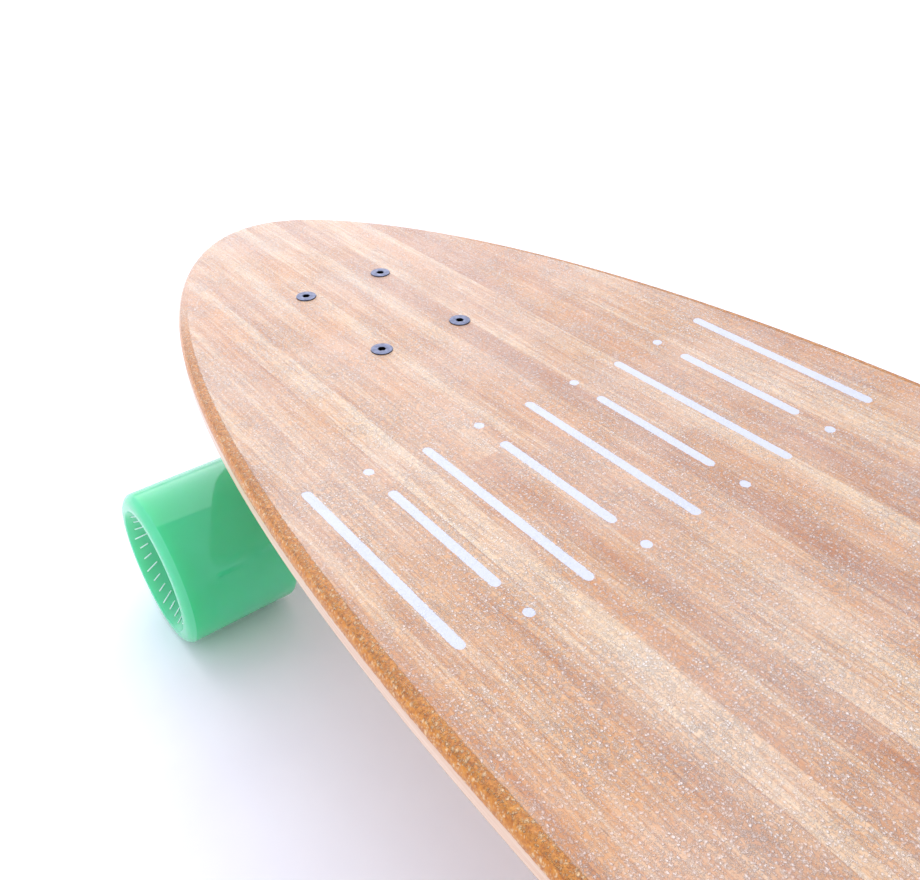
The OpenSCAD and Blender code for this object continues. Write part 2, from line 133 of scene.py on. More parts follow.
class WheelSettings(bpy.types.PropertyGroup):
    lip_round: bpy.props.FloatProperty(
        name="Lip radius", description="Radius of the tread's rounded edge", default=0.0026, unit="LENGTH")
    rim_width: bpy.props.FloatProperty(
        name="Rim width", description="Width of the flat ring round the recess",
        default=0.0062, unit="LENGTH")
    mark_count: bpy.props.IntProperty(
        name="Recess ticks", description="Number of raised ticks round the recess", default=30)
    urethane: colour_setting("Urethane", "Colour of the cast urethane", "31C07E")
    urethane_cloud: colour_setting("Urethane clouds", "Colour of the paler clouds in the urethane", "40C689")


class StudioSettings(bpy.types.PropertyGroup):
    lens: bpy.props.FloatProperty(name="Lens", description="Focal length in millimetres", default=34.6)
    camera_ahead: bpy.props.FloatProperty(
        name="Camera ahead of the bolts", description="Distance from the front bolts towards the tail",
        default=0.3091, unit="LENGTH")
    camera_side: bpy.props.FloatProperty(
        name="Camera to the left", description="Distance from the centre line", default=0.1921, unit="LENGTH")
    camera_height: bpy.props.FloatProperty(
        name="Camera above the deck", description="Height above the deck's top",
        default=0.1838, unit="LENGTH")
    azimuth: bpy.props.FloatProperty(
        name="Azimuth", description="Turn of the view from straight across the board",
        default=math.radians(52.58), subtype="ANGLE")
    elevation: bpy.props.FloatProperty(
        name="Elevation", description="Tilt of the view below level",
        default=math.radians(35.42), subtype="ANGLE")
    roll: bpy.props.FloatProperty(
        name="Roll", description="Turn of the camera about its view",
        default=math.radians(-0.59), subtype="ANGLE")


def settings(name):
    return getattr(bpy.context.scene, "skateboard_" + name)


# ---------------------------------------------------------------- small modelling tools

def clear_selection():
    if bpy.context.object and bpy.context.object.mode != "OBJECT":
        bpy.ops.object.mode_set(mode="OBJECT")
    bpy.ops.object.select_all(action="DESELECT")


def pick(obj):
    clear_selection()
    obj.select_set(True)
    bpy.context.view_layer.objects.active = obj


def apply_place(obj):
    """Puts the object's place into its mesh."""
    pick(obj)
    bpy.ops.object.transform_apply(location=True, rotation=True, scale=True)


def edit(obj, select="SELECT"):
    pick(obj)
    bpy.ops.object.mode_set(mode="EDIT")
    bpy.ops.mesh.select_all(action=select)


def close_mesh(obj, distance=0.00001):
    """Joins doubled points and points every face outwards."""
    edit(obj)
    bpy.ops.mesh.remove_doubles(threshold=distance)
    bpy.ops.mesh.select_all(action="SELECT")
    bpy.ops.mesh.normals_make_consistent(inside=False)
    bpy.ops.object.mode_set(mode="OBJECT")


def add_modifier(obj, kind, **values):
    modifier = obj.modifiers.new(kind.title(), kind)
    for key, value in values.items():
        setattr(modifier, key, value)
    pick(obj)
    bpy.ops.object.modifier_apply(modifier=modifier.name)


def bevel_edges(obj, width, segments=2, angle=30):
    add_modifier(obj, "BEVEL", width=width, segments=segments, limit_method="ANGLE",
                 angle_limit=math.radians(angle), miter_outer="MITER_ARC")


def smooth(obj, angle=40):
    pick(obj)
    bpy.ops.object.shade_smooth_by_angle(angle=math.radians(angle))


def arc(centre, radius, start, end, steps):
    """Points of an arc in a profile, between two angles in degrees."""
    return [(centre[0] + radius * math.cos(math.radians(start + (end - start) * i / steps)),
             centre[1] + radius * math.sin(math.radians(start + (end - start) * i / steps)))
            for i in range(steps + 1)]


def rolled_grid(name, columns, rows, place):
    """A grid primitive whose points are laid by place(u, v), joined where it meets itself."""
    clear_selection()
    bpy.ops.mesh.primitive_grid_add(x_subdivisions=columns, y_subdivisions=rows, size=2)
    obj = bpy.context.object
    obj.name = obj.data.name = name
    for vertex in obj.data.vertices:
        vertex.co = place((vertex.co.x + 1) / 2, (vertex.co.y + 1) / 2)
    close_mesh(obj)
    return obj


def turned(name, profile, steps=96):
    """A closed profile of (radius, place) points spun about the Y axis."""
    clear_selection()
    bpy.ops.mesh.primitive_circle_add(vertices=len(profile), fill_type="NOTHING")
    obj = bpy.context.object
    obj.name = obj.data.name = name
    for vertex, (radius, place) in zip(obj.data.vertices, profile):
        vertex.co = (radius, place, 0)
    edit(obj)
    bpy.ops.mesh.spin(steps=steps, angle=2 * math.pi, center=(0, 0, 0), axis=(0, 1, 0))
    bpy.ops.object.mode_set(mode="OBJECT")
    close_mesh(obj, 0.000005)
    return obj


def own_copy(obj, name, matrix):
    """A copy with its own mesh, placed by a matrix that goes into the mesh."""
    copy = obj.copy()
    copy.data = obj.data.copy()
    copy.name = copy.data.name = name
    bpy.context.scene.collection.objects.link(copy)
    copy.data.transform(matrix)
    if matrix.determinant() < 0:
        copy.data.flip_normals()
    return copy


def remove(obj):
    pick(obj)
    bpy.ops.object.delete()


def set_material(obj, material):
    obj.data.materials.clear()
    obj.data.materials.append(material)


def settle(obj, body, slot, *nodes):
    """A finished piece: what it moves with, and the CAD nodes it stands for; its slot is not used."""
    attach(obj, body)
    if nodes:
        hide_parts(*nodes)


def finish(obj, material, body, slot, node, angle=35):
    """Gives a piece that stands for one CAD node its material and smooth shading, and settles it."""
    set_material(obj, material)
    smooth(obj, angle)
    settle(obj, body, slot, node)


def from_node(node, name):
    """A merged copy of a CAD node's mesh with flat faces made whole."""
    source = frame["nodes"][node]
    obj = bpy.data.objects.new(name, source.data.copy())
    obj.data.name = name
    bpy.context.scene.collection.objects.link(obj)
    obj.data.transform(source.matrix_world)
    edit(obj)
    bpy.ops.mesh.remove_doubles(threshold=0.000002)
    bpy.ops.mesh.select_all(action="SELECT")
    bpy.ops.mesh.dissolve_limited(angle_limit=math.radians(0.5))
    bpy.ops.object.mode_set(mode="OBJECT")
    return obj


# ---------------------------------------------------------------- material nodes

# The setting that a node kind's mode goes to
MODES = {"Math": "operation", "VectorMath": "operation", "MapRange": "interpolation_type", "Mix": "data_type",
         "TexWhiteNoise": "noise_dimensions", "Attribute": "attribute_name"}


def add(tree, kind, *inputs, out=None, stops=(), **named):
    """
    Adds a node and gives one of its outputs, the first unless out says which. Its kind may be followed
    by a colon and a mode. Inputs fill its sockets in order, and named ones the sockets of that name,
    with numbers, colours or other nodes' outputs. Stops are a colour ramp's places and colours.
    """
    kind, _, mode = kind.partition(":")
    node = tree.nodes.new("ShaderNode" + kind)
    if mode:
        setattr(node, MODES[kind], mode)
    filled = list(zip((socket for socket in node.inputs if socket.enabled), inputs))
    filled += [(node.inputs[key.replace("_", " ")], value) for key, value in named.items()]
    for socket, value in filled:
        if isinstance(value, bpy.types.NodeSocket):
            tree.links.new(value, socket)
        else:
            socket.default_value = colour(value) if socket.type == "RGBA" else value
    for _ in stops[2:]:
        node.color_ramp.elements.new(0.5)
    for i, (place, code) in enumerate(stops):
        node.color_ramp.elements[i].position = place
        node.color_ramp.elements[i].color = colour(code)
    if out is None:
        return next((socket for socket in node.outputs if socket.enabled), None)
    return node.outputs[out]


def finish_of(name, base, **values):
    """A material with one shader: the named sockets are set on the shader itself."""
    material = bpy.data.materials.new(name)
    material.use_nodes = True
    tree = material.node_tree
    tree.nodes.clear()
    shader = add(tree, "BsdfPrincipled", Base_Color=base, **values).node
    add(tree, "OutputMaterial", Surface=shader.outputs[0])
    return material, tree, shader


def dress(tree, shader, body, roughness=None, bump=None):
    """Joins a finish's colour and roughness to its shader, and a bump of (height, strength, depth in mm)."""
    tree.links.new(body, shader.inputs["Base Color"])
    if roughness is not None:
        tree.links.new(roughness, shader.inputs["Roughness"])
    if bump is not None:
        height, strength, depth = bump
        raised = add(tree, "Bump", Strength=strength, Distance=depth * MM, Height=height)
        tree.links.new(raised, shader.inputs["Normal"])


def in_millimetres(tree):
    """Object coordinates in millimetres, so that every pattern's scale is a real size."""
    return add(tree, "VectorMath:SCALE", add(tree, "TexCoord", out="Object"), 1000)


# ---------------------------------------------------------------- bamboo and grit

# The printed row, in millimetres: its middle behind the front bolts, the pitch between stripes, and for each
# stripe outwards from the centre line its half length and the place of its end dots
PRINT_PLACE = 142
PRINT_PITCH = 24
PRINT_ROWS = ((40, None), (26, 41), (40, None), (26, 41), (40, None))


def bamboo_colour(tree, mm, strip_width, pale, middle, deep, heart, fleck):
    """Laminated bamboo: strips of their own tone along X, long grain, and short dark vessels."""
    axes = add(tree, "SeparateXYZ", mm).node.outputs
    drift = add(tree, "TexNoise", add(tree, "VectorMath:MULTIPLY", mm, (0.004, 0.02, 0.02)), 1.0, 3.0, 0.55)
    sway = add(tree, "Math:MULTIPLY", drift, 4.0)
    across = add(tree, "Math:DIVIDE", add(tree, "Math:ADD", axes[1], sway), strip_width)
    strip = add(tree, "Math:FLOOR", across)
    shift = add(tree, "TexWhiteNoise:1D", strip)
    # Strips are about 900 mm long, each starting at its own place
    length = add(tree, "Math:FLOOR", add(tree, "Math:ADD", add(tree, "Math:MULTIPLY", axes[0], 0.0011),
                                         add(tree, "Math:MULTIPLY", shift, 7.0)))
    lath = add(tree, "CombineXYZ", strip, length)
    tone = add(tree, "TexWhiteNoise:2D", lath)
    # Flames are about 9 mm wide and 140 mm long, fibres 0.9 mm by 30 mm, vessels 0.5 mm by 6 mm
    flame = add(tree, "TexNoise", add(tree, "VectorMath:MULTIPLY", mm, (0.007, 0.11, 0.11)), 1.0, 5.0, 0.62)
    fibre = add(tree, "TexNoise", add(tree, "VectorMath:MULTIPLY", mm, (0.035, 1.1, 1.1)), 1.0, 5.0, 0.7)
    mixed = add(tree, "Math:ADD", add(tree, "Math:MULTIPLY", tone, 0.19),
                add(tree, "Math:ADD", add(tree, "Math:MULTIPLY", flame, 0.62),
                    add(tree, "Math:MULTIPLY", fibre, 0.62)))
    wood = add(tree, "ValToRGB", add(tree, "MapRange:SMOOTHSTEP", mixed, 0.47, 0.97),
               stops=((0.0, pale), (0.5, middle), (1.0, deep)))
    warmth = add(tree, "TexNoise", add(tree, "VectorMath:MULTIPLY", mm, (0.005, 0.06, 0.06)), 1.0, 4.0, 0.6)
    warm = add(tree, "MapRange:SMOOTHSTEP", warmth, 0.46, 0.68, 0.0, 0.5)
    wood = add(tree, "Mix:RGBA", warm, wood, heart)
    pores = add(tree, "TexNoise", add(tree, "VectorMath:MULTIPLY", mm, (0.16, 1.9, 1.9)), 1.0, 2.0, 0.5)
    vessel = add(tree, "MapRange:SMOOTHSTEP", pores, 0.60, 0.74)
    wood = add(tree, "Mix:RGBA", add(tree, "Math:MULTIPLY", vessel, 0.5), wood, fleck)
    seam = add(tree, "Math:ABSOLUTE", add(tree, "Math:SUBTRACT", add(tree, "Math:FRACT", across), 0.5))
    seam = add(tree, "MapRange:SMOOTHSTEP", seam, 0.48, 0.5)
    return add(tree, "Mix:RGBA", add(tree, "Math:MULTIPLY", seam, 0.22), wood, fleck), fibre


def grit_of(tree, mm, size, share):
    """Crushed glass of a size in millimetres: 1 on a grain, on this share of the places for one."""
    shake = add(tree, "TexNoise", mm, 1.3 / size, 1.0, out="Color")
    shaken = add(tree, "VectorMath:MULTIPLY_ADD", shake, (size, size, size), mm)
    cells = add(tree, "TexVoronoi", shaken, 1.0 / size, Randomness=1.0).node.outputs
    draw = add(tree, "SeparateXYZ", cells["Color"])
    chosen = add(tree, "MapRange:SMOOTHSTEP", draw, 1.0 - share, 1.0 - share + 0.12)
    grain = add(tree, "MapRange:SMOOTHSTEP", cells["Distance"], 0.62, 0.12)
    return add(tree, "Math:MULTIPLY", grain, chosen)


def printed_stripes(tree, mm, width):
    """Round-ended stripes and dots, a row across the board behind the front bolts: 1 on the print."""
    axes = add(tree, "SeparateXYZ", mm).node.outputs
    side = add(tree, "Math:ABSOLUTE", axes[1])
    behind = add(tree, "Math:SUBTRACT", axes[0], BOLTS_X["front"] / MM + PRINT_PLACE)
    along = add(tree, "Math:ABSOLUTE", behind)
    nearest = None
    for row, (half_length, dot_place) in enumerate(PRINT_ROWS):
        offset = add(tree, "Math:SUBTRACT", side, row * PRINT_PITCH)
        end = add(tree, "Math:MAXIMUM", add(tree, "Math:SUBTRACT", along, half_length), 0.0)
        marks = [end] + ([add(tree, "Math:SUBTRACT", along, dot_place)] if dot_place else [])
        for mark in marks:
            distance = add(tree, "Math:SQRT", add(tree, "Math:ADD", add(tree, "Math:MULTIPLY", mark, mark),
                                                  add(tree, "Math:MULTIPLY", offset, offset)))
            nearest = distance if nearest is None else add(tree, "Math:MINIMUM", nearest, distance)
    bleed = add(tree, "Math:SUBTRACT", add(tree, "TexNoise", mm, 1.1, 2.0, 0.6), 0.5)
    ragged = add(tree, "Math:MULTIPLY", bleed, 0.8)
    half = width / MM / 2
    return add(tree, "MapRange:SMOOTHSTEP", add(tree, "Math:ADD", nearest, ragged), half + 0.15, half - 0.15)


def amber_resin(tree, mm):
    """Resin that ran over the rounded edge and dried thick: amber, full of glass that catches the light."""
    cloud = add(tree, "TexNoise", mm, 0.9, 4.0, 0.65)
    amber = settings("deck").amber_resin
    body = add(tree, "ValToRGB", cloud, stops=((0.28, "A0560C"), (0.5, amber), (0.74, "E29C3C")))
    big = grit_of(tree, mm, 1.1, 0.42)
    fine = grit_of(tree, mm, 0.6, 0.42)
    glass = add(tree, "Math:MAXIMUM", big, add(tree, "Math:MULTIPLY", fine, 0.75))
    stained = add(tree, "Mix:RGBA", add(tree, "Math:MULTIPLY", glass, 0.6), body, "FFE2AE")
    return stained, add(tree, "Math:ADD", glass, add(tree, "Math:MULTIPLY", cloud, 1.4))


def rim_share(tree, mm, start, end):
    """Where resin covers the rounded edge, by how far that has turned over: ragged, thin at the nose tip."""
    from_tip = add(tree, "Math:SUBTRACT", add(tree, "SeparateXYZ", mm, out="X"), DECK_LOW.x / MM)
    rim = add(tree, "Attribute:rim", out="Fac")
    wander = add(tree, "Math:SUBTRACT", add(tree, "TexNoise", mm, 0.55, 3.0, 0.7), 0.5)
    ragged = add(tree, "Math:MULTIPLY", wander, 0.09)
    covered = add(tree, "MapRange:SMOOTHSTEP", add(tree, "Math:ADD", rim, ragged), start, end)
    thick = add(tree, "MapRange:SMOOTHSTEP", from_tip, 55.0, 125.0, 0.08, 1.0)
    return add(tree, "Math:MULTIPLY", covered, thick)


def gritted_bamboo():
    """Bamboo face under a clear resin coat full of crushed glass: pale wood with white sparkling grains."""
    material, tree, shader = finish_of("gritted bamboo face", "E0B080", Roughness=0.5, IOR=1.5,
                                       Coat_Weight=0.45, Coat_Roughness=0.42)
    mm = in_millimetres(tree)
    deck = settings("deck")
    wood, fibre = bamboo_colour(tree, mm, deck.strip_width / MM, deck.pale_bamboo, deck.middle_bamboo,
                                deck.deep_bamboo, "D08848", "7E431F")
    # Grains of 1 mm and 0.6 mm, and glass dust, too fine to show by itself, drawn as crusts of 1.4 mm
    big = grit_of(tree, mm, 1.0, 0.46)
    fine = grit_of(tree, mm, 0.6, 0.5)
    crust = add(tree, "MapRange:SMOOTHSTEP", add(tree, "TexNoise", mm, 0.7, 4.0, 0.8), 0.46, 0.68)
    spread = add(tree, "TexNoise", mm, 0.05, 3.0, 0.6)
    patch = add(tree, "MapRange:SMOOTHSTEP", spread, 0.30, 0.70, 0.55, 1.0)
    grains = add(tree, "Math:MAXIMUM", big, add(tree, "Math:MULTIPLY", fine, 0.7))
    crusted = add(tree, "Math:MAXIMUM", grains, add(tree, "Math:MULTIPLY", crust, 0.72))
    glass = add(tree, "Math:MULTIPLY", crusted, patch)
    mist = add(tree, "TexNoise", mm, 0.02, 3.0, 0.6)
    haze = add(tree, "MapRange:SMOOTHSTEP", mist, 0.34, 0.66, 0.0, 0.15)
    misted = add(tree, "Mix:RGBA", haze, wood, "EDE3DA")
    stained = add(tree, "Mix:RGBA", add(tree, "Math:MULTIPLY", glass, 0.68), misted, "FAF3EC")
    stripes = printed_stripes(tree, mm, deck.stripe_width)
    painted = add(tree, "Mix:RGBA", stripes, stained, "CCCEDA")
    amber, amber_height = amber_resin(tree, mm)
    over = rim_share(tree, mm, 0.045, 0.075)
    body = add(tree, "Mix:RGBA", over, painted, amber)
    height = add(tree, "Math:ADD", glass, add(tree, "Math:MULTIPLY", fibre, 0.25))
    bare = add(tree, "Math:SUBTRACT", 1.0, add(tree, "Math:MULTIPLY", stripes, 0.75))
    height = add(tree, "Math:MULTIPLY", height, bare)
    height = add(tree, "Math:ADD", height, add(tree, "Math:MULTIPLY", over, amber_height))
    sparkle = add(tree, "MapRange:SMOOTHSTEP", glass, 0.0, 1.0, 0.46, 0.2)
    dress(tree, shader, body, sparkle, (height, 1.0, 0.5))
    return material


def sanded_edge():
    """Bamboo edge sanded smooth and oiled below the resin: pale, with the fine lines of the laminate."""
    material, tree, shader = finish_of("sanded bamboo edge", "E8C29C", Roughness=0.4, IOR=1.5,
                                       Coat_Weight=0.3, Coat_Roughness=0.25)
    mm = in_millimetres(tree)
    layers = add(tree, "TexNoise", add(tree, "VectorMath:MULTIPLY", mm, (0.02, 0.05, 1.6)), 1.0, 3.0, 0.6)
    wood = add(tree, "ValToRGB", layers, stops=((0.3, "DDB08A"), (0.5, "E9C4A4"), (0.7, "F0D2B6")))
    amber, amber_height = amber_resin(tree, mm)
    under = rim_share(tree, mm, 0.675, 0.645)
    body = add(tree, "Mix:RGBA", under, wood, amber)
    height = add(tree, "Math:ADD", add(tree, "Math:MULTIPLY", layers, 0.3),
                 add(tree, "Math:MULTIPLY", under, amber_height))
    dress(tree, shader, body, bump=(height, 0.6, 0.3))
    return material


def clear_bamboo():
    """Bamboo under satin varnish, for the underside: the strips show with no grit."""
    material, tree, shader = finish_of("varnished bamboo", "D8A878", Roughness=0.38, IOR=1.5,
                                       Coat_Weight=0.6, Coat_Roughness=0.2)
    mm = in_millimetres(tree)
    wood, fibre = bamboo_colour(tree, mm, settings("deck").strip_width / MM,
                                "E9C596", "DBA774", "C08450", "CC9058", "9A6236")
    dress(tree, shader, wood, bump=(fibre, 0.2, 0.08))
    return material


# ---------------------------------------------------------------- urethane, plastic, rubber

def cast_urethane():
    """Cast polyurethane, polished by its mould: mint, glossy, and light spreads some way into it. The ring round
    the recess is painted paler, a painted glow for light through the thin lip.
    """
    wheel = settings("wheel")
    material, tree, shader = finish_of("mint cast urethane", "58CE9A", Roughness=0.08, IOR=1.5,
                                       Subsurface_Weight=0.85, Subsurface_Scale=0.016)
    shader.inputs["Subsurface Radius"].default_value = (0.35, 1.0, 0.62)
    mm = in_millimetres(tree)
    cloud = add(tree, "TexNoise", mm, 0.035, 2.0, 0.5)
    body = add(tree, "ValToRGB", cloud, stops=((0.3, wheel.urethane), (0.7, wheel.urethane_cloud)))
    # Painted glow: the ring round the recess is mixed towards pale mint, standing for light shining through the
    # thin lip
    lip = add(tree, "Attribute:lip", out="Fac")
    paler = add(tree, "Mix:RGBA", add(tree, "Math:MULTIPLY", lip, 0.18), body, "A4DCCC")
    haze = add(tree, "TexNoise", mm, 0.35, 3.0, 0.6)
    gloss = add(tree, "MapRange:SMOOTHSTEP", haze, 0.3, 0.7, 0.05, 0.10)
    dress(tree, shader, paler, gloss, (haze, 0.03, 0.2))
    return material


def raised_mark():
    """A thin raised tick coloured near-white as a painted highlight, for light glinting off the moulded relief,
    so that it shows against the recess wall.
    """
    material, tree, shader = finish_of("pale tick painted highlight", "E6FBF2", Roughness=0.3, IOR=1.5)
    # Painted highlight: near-white tones for the glint on the raised relief
    cloud = add(tree, "TexNoise", in_millimetres(tree), 0.6, 2.0, 0.5)
    dress(tree, shader, add(tree, "ValToRGB", cloud, stops=((0.3, "D8F8EA"), (0.7, "F2FFFA"))))
    return material


def bushing_urethane():
    """Poured urethane bushing: off-white, satin, a little waxy."""
    material, tree, shader = finish_of("poured urethane bushing", "E6DFCD", Roughness=0.35, IOR=1.5,
                                       Subsurface_Weight=0.3, Subsurface_Scale=0.003)
    mm = in_millimetres(tree)
    cloud = add(tree, "TexNoise", mm, 0.3, 3.0, 0.55)
    body = add(tree, "ValToRGB", cloud, stops=((0.3, "DDD4BE"), (0.7, "EDE7D8")))
    dress(tree, shader, body, bump=(add(tree, "TexNoise", mm, 2.0, 3.0, 0.6), 0.08, 0.1))
    return material


def moulded_plastic(name, dark, pale, roughness, texture_mm):
    """Moulded plastic or rubber with the faint grain of its mould."""
    material, tree, shader = finish_of(name, dark, Roughness=roughness, IOR=1.47)
    mm = in_millimetres(tree)
    cloud = add(tree, "TexNoise", mm, 0.08, 3.0, 0.6)
    body = add(tree, "ValToRGB", cloud, stops=((0.3, dark), (0.7, pale)))
    grain = add(tree, "TexNoise", mm, 1.0 / texture_mm, 4.0, 0.6)
    gloss = add(tree, "MapRange:SMOOTHSTEP", grain, 0.3, 0.7, roughness - 0.06, roughness + 0.08)
    dress(tree, shader, body, gloss, (grain, 0.18, 0.08))
    return material


# ---------------------------------------------------------------- metals

def cast_alloy():
    """Gravity-cast aluminium, tumbled and left raw: pale grey, soft sheen, fine pits."""
    material, tree, shader = finish_of("tumbled cast alloy", "B4B7BB", Metallic=1.0, Roughness=0.4)
    mm = in_millimetres(tree)
    skin = add(tree, "TexNoise", mm, 0.9, 5.0, 0.65)
    cloud = add(tree, "TexNoise", mm, 0.07, 3.0, 0.6)
    body = add(tree, "ValToRGB", cloud, stops=((0.3, "A6A9AD"), (0.7, "C0C3C7")))
    gloss = add(tree, "MapRange:SMOOTHSTEP", skin, 0.3, 0.7, 0.34, 0.52)
    dress(tree, shader, body, gloss, (skin, 0.22, 0.12))
    return material


def thread_ridges(tree, mm, axis, pitch):
    """A screw thread's ridges across an axis, as a height: 0.79 mm apart on deck bolts, 1.06 mm on axles."""
    along = add(tree, "VectorMath:DOT_PRODUCT", mm, axis)
    ridge = add(tree, "Math:SINE", add(tree, "Math:MULTIPLY", along, 2 * math.pi / pitch))
    return add(tree, "Math:MULTIPLY", ridge, 0.5)


def plated_steel(name, dark, pale, roughness, thread_axis=None, pitch=1.06, socket_shade_top=None):
    """Steel under a thin zinc plate: cool grey with faint turning marks, or a thread, or a socket darkened to
    near-black as painted shade.
    """
    material, tree, shader = finish_of(name, pale, Metallic=1.0, Roughness=roughness)
    mm = in_millimetres(tree)
    cloud = add(tree, "TexNoise", mm, 0.5, 3.0, 0.6)
    body = add(tree, "ValToRGB", cloud, stops=((0.3, dark), (0.7, pale)))
    marks = add(tree, "TexNoise", add(tree, "VectorMath:MULTIPLY", mm, (1.0, 1.0, 6.0)), 1.2, 3.0, 0.6)
    gloss = add(tree, "MapRange:SMOOTHSTEP", marks, 0.3, 0.7, roughness - 0.05, roughness + 0.1)
    # Painted shade: from 0.3 mm to 6 mm below the head's top, the bolt's socket is mixed to near-black where
    # shade falls in the recess
    if socket_shade_top:
        below = add(tree, "Math:SUBTRACT", socket_shade_top, add(tree, "SeparateXYZ", mm, out="Z"))
        inside = add(tree, "Math:MULTIPLY", add(tree, "MapRange:SMOOTHSTEP", below, 0.3, 0.7),
                     add(tree, "MapRange:SMOOTHSTEP", below, 6.0, 5.0))
        body = add(tree, "Mix:RGBA", inside, body, "0A0A0E")
    bump = (thread_ridges(tree, mm, thread_axis, pitch), 0.9, 0.22) if thread_axis else (marks, 0.06, 0.05)
    dress(tree, shader, body, gloss, bump)
    return material


FINISHES = {}


def finishes():
    """Every finish, made once, by its slot's name or by the name of the part of a slot it is for."""
    if not FINISHES:
        FINISHES.update({
            "face_bamboo": gritted_bamboo(),
            "core_bamboo": sanded_edge(),
            "bottom_bamboo": clear_bamboo(),
            "wheel_urethane": cast_urethane(),
            "raised_mark": raised_mark(),
            "bushing_urethane": bushing_urethane(),
            "riser": moulded_plastic("moulded rubber riser", "141415", "1E1E20", 0.62, 0.5),
            "cup_plastic": moulded_plastic("black pivot plastic", "18181A", "232326", 0.45, 0.4),
            "core_plastic": moulded_plastic("mint-white nylon core", "CFE9DC", "DFF3EA", 0.34, 0.6),
            "cast_alloy": cast_alloy(),
            # The bolts' sockets get painted shade, near-black below the raised heads' top
            "bolt_steel": plated_steel("blued bolt steel", "565A6C", "7A7F94", 0.38, (0, 0, 1), 0.79,
                                       (DECK_TOP + BOLT_RAISED) / MM),
            "nut_steel": plated_steel("bright zinc plate", "A9ABAF", "C6C8CC", 0.28),
            "front_kingpin_steel": plated_steel("oiled front kingpin", "6F7277", "8E9196", 0.34,
                                                (0.707, 0, 0.707)),
            "rear_kingpin_steel": plated_steel("oiled rear kingpin", "6F7277", "8E9196", 0.34,
                                               (-0.707, 0, 0.707)),
            "axle_steel": plated_steel("threaded axle steel", "A8AAAE", "C2C4C8", 0.22, (0, 1, 0)),
            "spacer_steel": plated_steel("turned spacer steel", "A8AAAE", "C2C4C8", 0.22),
            "bearing_steel": plated_steel("polished bearing steel", "BFC1C5", "DADCDF", 0.14),
            "shield_steel": plated_steel("dark bearing shield", "33363A", "4A4E53", 0.36),
        })
    return FINISHES


# ---------------------------------------------------------------- the deck's own shape

def outline_point(turn):
    """A point of the deck's outline; a whole turn goes from the nose tip round the left edge and back."""
    deck = settings("deck")
    widest = DECK_LOW.x + deck.nose_reach
    angle = 2 * math.pi * turn
    across = -HALF_WIDTH * math.sin(angle)
    along = -math.cos(angle)
    if along <= 0:
        return Vector((widest + deck.nose_reach * along, across, 0))
    return Vector((widest + (DECK_LENGTH - deck.nose_reach) * along ** (2 / deck.tail_fullness), across, 0))


def outline_inwards(turn):
    """The direction square to the outline that points into the deck."""
    step = 0.0005
    ahead = outline_point((turn + step) % 1) - outline_point((turn - step) % 1)
    return Vector((-ahead.y, ahead.x, 0)).normalized()


def concave_rise(across):
    """How far the deck's sides curl up above its flat middle."""
    half_flat = settings("deck").flat_width / 2
    return CONCAVE * (max(0.0, abs(across) - half_flat) / (HALF_WIDTH - half_flat)) ** 2


def rim_inset(depth):
    """How far the rounded edge lies inside the outline at a depth below the top."""
    deck = settings("deck")
    if depth < deck.top_round:
        return deck.top_round - math.sqrt(deck.top_round ** 2 - (deck.top_round - depth) ** 2)
    low = depth - (DECK_THICKNESS - deck.bottom_round)
    if low > 0:
        return deck.bottom_round - math.sqrt(max(0.0, deck.bottom_round ** 2 - low ** 2))
    return 0.0


OUTLINE_POINTS = 336
TOP_RINGS = 18
# The face rolls down this far over this width before its rounded edge starts
ROLL_WIDTH = 2.8 * MM
ROLL_DEPTH = 0.45 * MM
ROLL_STEPS = 6
RIM_RING = 0.35 * MM


def deck_layer(name, top, bottom):
    """One layer of the laminate as a closed shell, with its rounded edge and its concave."""
    rim_steps = max(6, round((bottom - top) / RIM_RING))
    roll = [(1 - step / ROLL_STEPS) for step in range(ROLL_STEPS)] if top == 0 else []
    rim_top = ROLL_DEPTH if roll else top
    rim = [rim_top + (bottom - rim_top) * (1 - math.cos(math.pi * step / rim_steps)) / 2
           for step in range(rim_steps + 1)]
    rows = [(ring / TOP_RINGS, 0.0, top) for ring in range(TOP_RINGS)]
    rows += [(1.0, ROLL_WIDTH * back, ROLL_DEPTH * (1 - back) ** 2) for back in roll]
    rows += [(1.0, 0.0, depth) for depth in rim]
    rows += [((TOP_RINGS - 1 - ring) / TOP_RINGS, 0.0, bottom) for ring in range(TOP_RINGS)]
    inner = rim_inset(rim_top) + (ROLL_WIDTH if roll else 0)
    middle = DECK_LOW.x + settings("deck").nose_reach

    def place(turn, row):
        spread_share, back, depth = rows[round(row * (len(rows) - 1))]
        inset = back + rim_inset(max(depth, rim_top)) if spread_share == 1 else inner
        edge = outline_point(turn % 1) + outline_inwards(turn % 1) * inset
        point = Vector((middle + (edge.x - middle) * spread_share, edge.y * spread_share, 0))
        point.z = DECK_TOP + concave_rise(point.y) - depth
        return point

    obj = rolled_grid(name, OUTLINE_POINTS, len(rows) - 1, place)
    attribute = obj.data.attributes.new("rim", "FLOAT", "POINT")
    for vertex in obj.data.vertices:
        depth = DECK_TOP + concave_rise(vertex.co.y) - vertex.co.z
        attribute.data[vertex.index].value = math.sqrt(max(0.0, depth / DECK_THICKNESS))
    return obj


